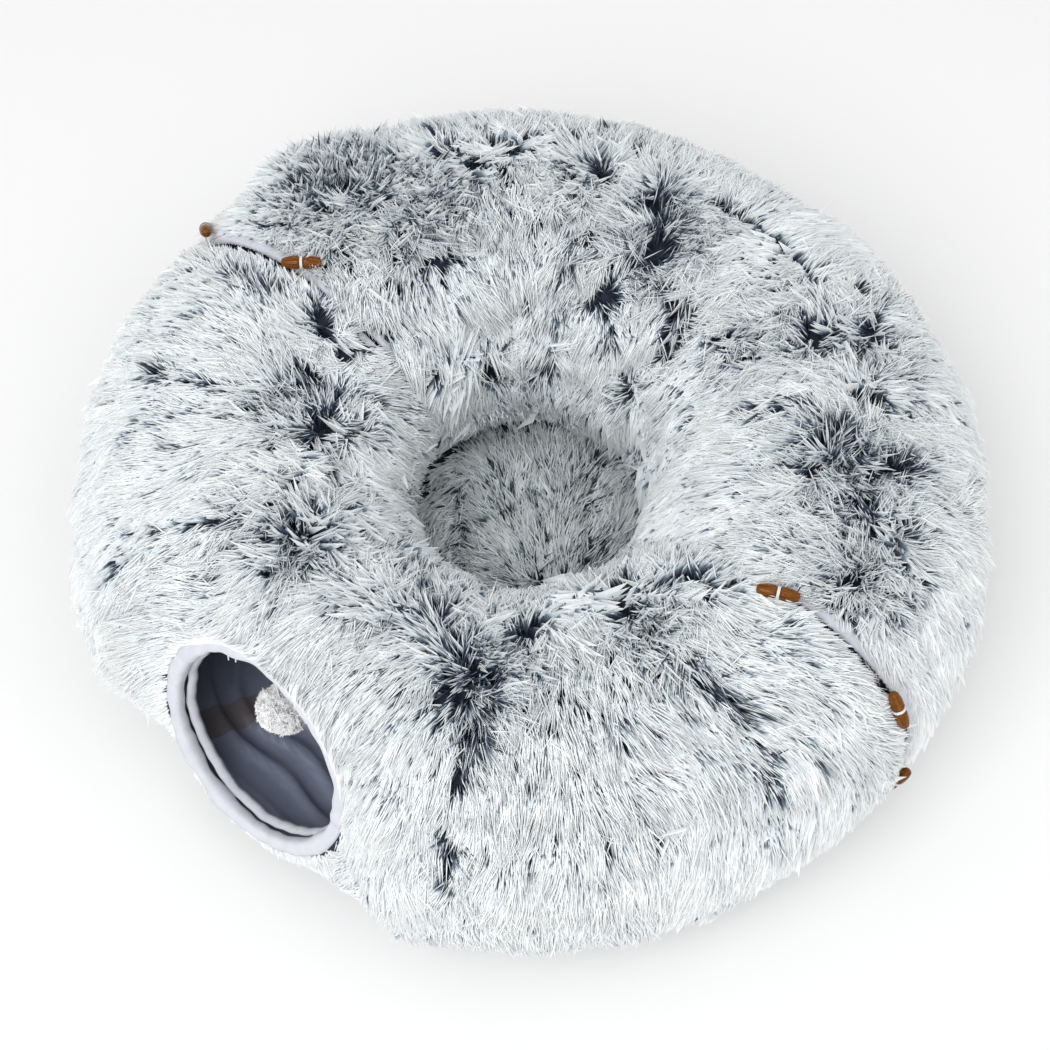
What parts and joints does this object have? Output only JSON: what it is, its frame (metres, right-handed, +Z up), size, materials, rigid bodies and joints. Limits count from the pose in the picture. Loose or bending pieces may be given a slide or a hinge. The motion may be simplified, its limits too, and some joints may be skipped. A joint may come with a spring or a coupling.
{
  "type": "cat tunnel",
  "caption": "Ring-shaped plush cat tunnel of two C-shaped halves with a round peephole and hanging pompom, toggle-buttoned around a soft round centre mat.",
  "frame": {"origin": "centre of the ring at the underside of the centre mat, on the floor", "axes": "+Z up, X through the two seams where the halves are buttoned together, -Y towards the half with the peephole"},
  "size_m": [0.8084, 0.7616, 0.2637],
  "materials": {
    "plush": "long-pile grey plush with pale tips and dark roots",
    "lining": "smooth dark navy polyester",
    "spring_steel": "drawn wire",
    "binding_tape": "folded pale lavender-white tape",
    "toggle_wood": "stained and varnished",
    "white_cord": "thin woven cord",
    "pompom_wool": "fluffy white yarn",
    "mat_plush": "grey plush like the ring's",
    "fibre_filling": "loose fibre",
    "base_cloth": "plain dark cloth"
  },
  "bodies": {
    "front_half": {"front_hoop_1": "spring_steel", "front_hoop_2": "spring_steel", "front_hoop_3": "spring_steel", "front_hoop_4": "spring_steel", "front_hoop_5": "spring_steel", "front_hoop_6": "spring_steel", "front_plush_cover": "plush", "front_lining": "lining", "front_end_tape_1": "binding_tape", "front_end_tape_2": "binding_tape", "peephole_tape": "binding_tape", "peephole_hoop": "spring_steel", "toggle_loop_1": "white_cord", "toggle_loop_2": "white_cord", "toggle_loop_3": "white_cord"},
    "rear_half": {"rear_hoop_1": "spring_steel", "rear_hoop_2": "spring_steel", "rear_hoop_3": "spring_steel", "rear_hoop_4": "spring_steel", "rear_hoop_5": "spring_steel", "rear_hoop_6": "spring_steel", "rear_hoop_7": "spring_steel", "rear_plush_cover": "plush", "rear_lining": "lining", "rear_end_tape_1": "binding_tape", "rear_end_tape_2": "binding_tape", "toggle_loop_4": "white_cord", "toggle_loop_5": "white_cord", "toggle_loop_6": "white_cord"},
    "toggle_button_1": {"toggle_1": "toggle_wood", "toggle_cord_1": "white_cord"},
    "toggle_button_2": {"toggle_2": "toggle_wood", "toggle_cord_2": "white_cord"},
    "toggle_button_3": {"toggle_3": "toggle_wood", "toggle_cord_3": "white_cord"},
    "toggle_button_4": {"toggle_4": "toggle_wood", "toggle_cord_4": "white_cord"},
    "toggle_button_5": {"toggle_5": "toggle_wood", "toggle_cord_5": "white_cord"},
    "toggle_button_6": {"toggle_6": "toggle_wood", "toggle_cord_6": "white_cord"},
    "pompom_link": {"pompom_knot": "white_cord"},
    "pompom_hang": {"pompom_string": "white_cord", "pompom": "pompom_wool"},
    "mat": {"mat_plush_cover": "mat_plush", "mat_filling": "fibre_filling", "mat_base_cloth": "base_cloth"}
  },
  "joints": [
    {"name": "ring_open", "type": "hinge", "parent": "front_half", "child": "rear_half", "pos_m": [-0.3973, 0, 0], "axis": [0, 0, 1], "range_deg": [0, 70], "deforming": ["toggle_loop_1", "toggle_loop_2", "toggle_loop_3", "toggle_loop_4", "toggle_loop_5", "toggle_loop_6"]},
    {"name": "toggle_turn_1", "type": "hinge", "parent": "rear_half", "child": "toggle_button_1", "pos_m": [-0.38386, 0.00821, 0.08681], "axis": [-0.9364, 0, -0.351], "range_deg": [-90, 90]},
    {"name": "toggle_turn_2", "type": "hinge", "parent": "rear_half", "child": "toggle_button_2", "pos_m": [-0.36387, 0.00797, 0.1962], "axis": [-0.7663, 0, 0.6424], "range_deg": [-90, 90]},
    {"name": "toggle_turn_3", "type": "hinge", "parent": "rear_half", "child": "toggle_button_3", "pos_m": [-0.25, 0.0066, 0.24648], "axis": [0, 0, 1], "range_deg": [-90, 90]},
    {"name": "toggle_turn_4", "type": "hinge", "parent": "front_half", "child": "toggle_button_4", "pos_m": [0.38386, -0.00821, 0.08681], "axis": [0.9364, 0, -0.351], "range_deg": [-90, 90]},
    {"name": "toggle_turn_5", "type": "hinge", "parent": "front_half", "child": "toggle_button_5", "pos_m": [0.36387, -0.00797, 0.1962], "axis": [0.7663, 0, 0.6424], "range_deg": [-90, 90]},
    {"name": "toggle_turn_6", "type": "hinge", "parent": "front_half", "child": "toggle_button_6", "pos_m": [0.25, -0.0066, 0.24648], "axis": [0, 0, 1], "range_deg": [-90, 90]},
    {"name": "pompom_swing_side", "type": "hinge", "parent": "front_half", "child": "pompom_link", "pos_m": [-0.02308, -0.29324, 0.22879], "axis": [-0.0785, -0.9969, 0], "range_deg": [-40, 40]},
    {"name": "pompom_swing_in", "type": "hinge", "parent": "pompom_link", "child": "pompom_hang", "pos_m": [-0.02308, -0.29324, 0.22879], "axis": [0.9969, -0.0785, 0], "range_deg": [-40, 40]},
    {"name": "mat_lift", "type": "slide", "parent": "front_half", "child": "mat", "axis": [0, 0, 1], "range_m": [0, 0.3], "deforming": ["mat_plush_cover"]}
  ]
}
